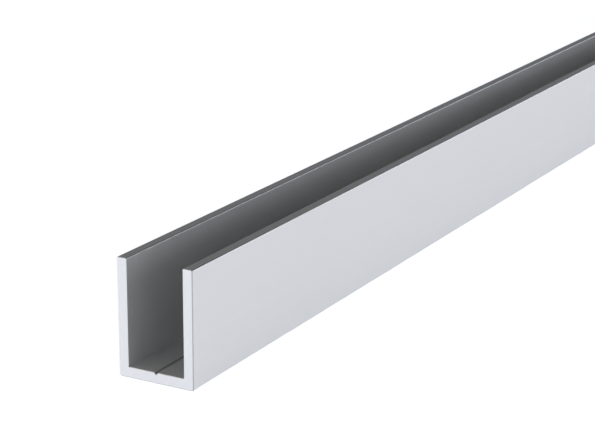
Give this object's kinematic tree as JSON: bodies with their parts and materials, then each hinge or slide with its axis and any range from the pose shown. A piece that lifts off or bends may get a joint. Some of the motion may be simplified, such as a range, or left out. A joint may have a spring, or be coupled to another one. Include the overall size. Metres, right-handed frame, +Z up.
{
  "type": "metal channel section",
  "caption": "Straight length of U-shaped aluminium channel with a deep open slot, equal parallel flanges and a fine drill groove along the inside of its web.",
  "frame": {"origin": "on the underside of the web, in the middle of its width and of its length", "axes": "+X across the slot towards the right flange, +Y along the length away from the near sawn end, +Z up from the web to the open side"},
  "size_m": [0.021, 1, 0.03],
  "materials": {
    "anodised_aluminium": "satin silver anodised, sawn bare at both ends"
  },
  "bodies": {
    "root": {"channel": "anodised_aluminium"}
  },
  "joints": []
}
